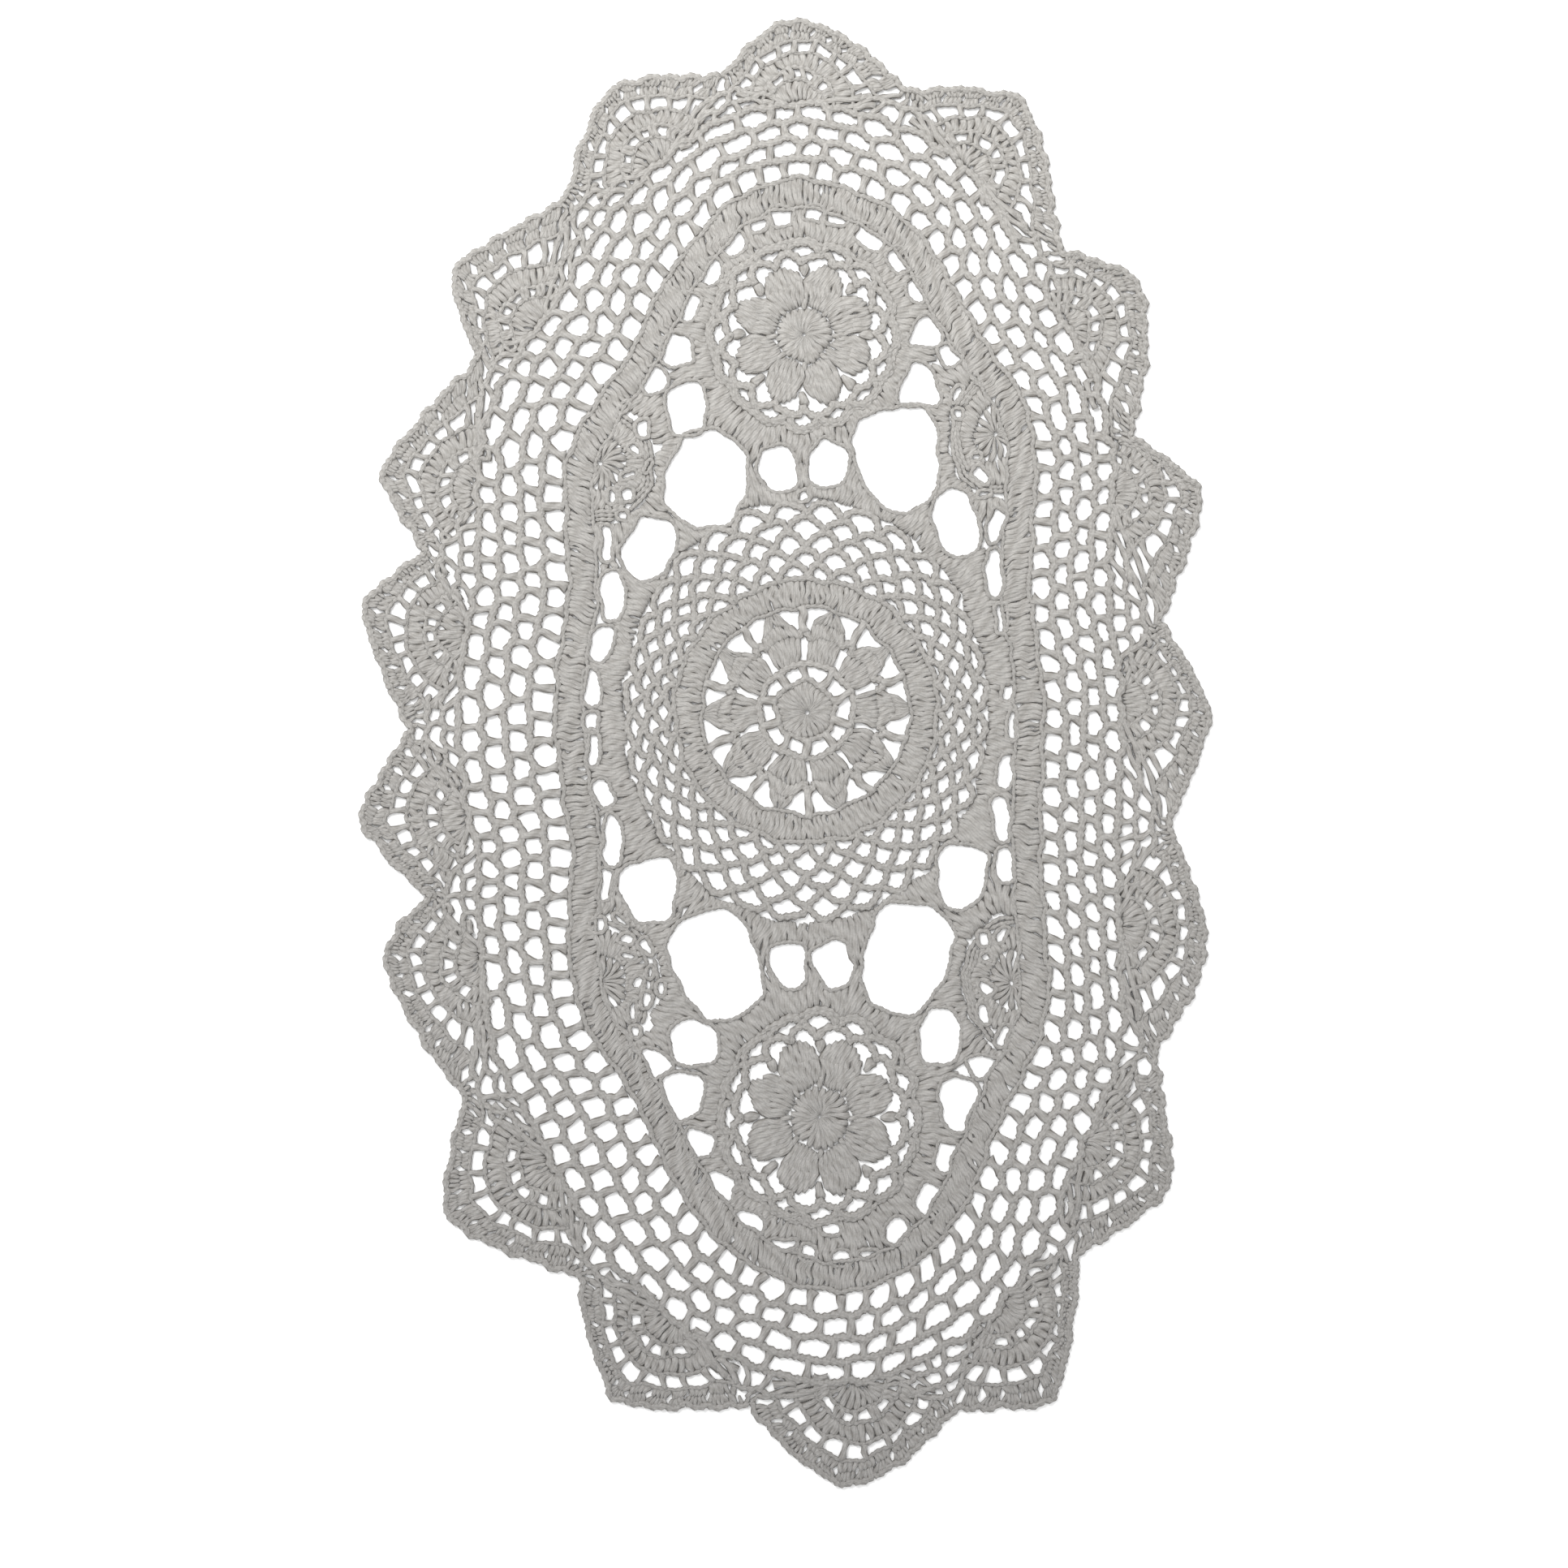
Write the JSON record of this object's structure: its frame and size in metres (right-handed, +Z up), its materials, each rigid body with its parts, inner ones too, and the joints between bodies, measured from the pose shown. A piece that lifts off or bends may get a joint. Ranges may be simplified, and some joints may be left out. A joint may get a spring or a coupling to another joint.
{
  "type": "crochet placemat",
  "caption": "Oval crocheted cotton placemat with a scalloped border, flower medallions joined inside a dense oval band, and an open net ground.",
  "frame": {"origin": "on the surface that the mat lies on, under the middle of its outline", "axes": "+Y along the mat's length, +X across it, +Z up from the table"},
  "size_m": [0.29, 0.499, 0.0024],
  "materials": {
    "cotton_yarn": "matte, slightly fuzzy cotton yarn"
  },
  "bodies": {
    "root": {"crochet_mat": "cotton_yarn"}
  },
  "joints": []
}
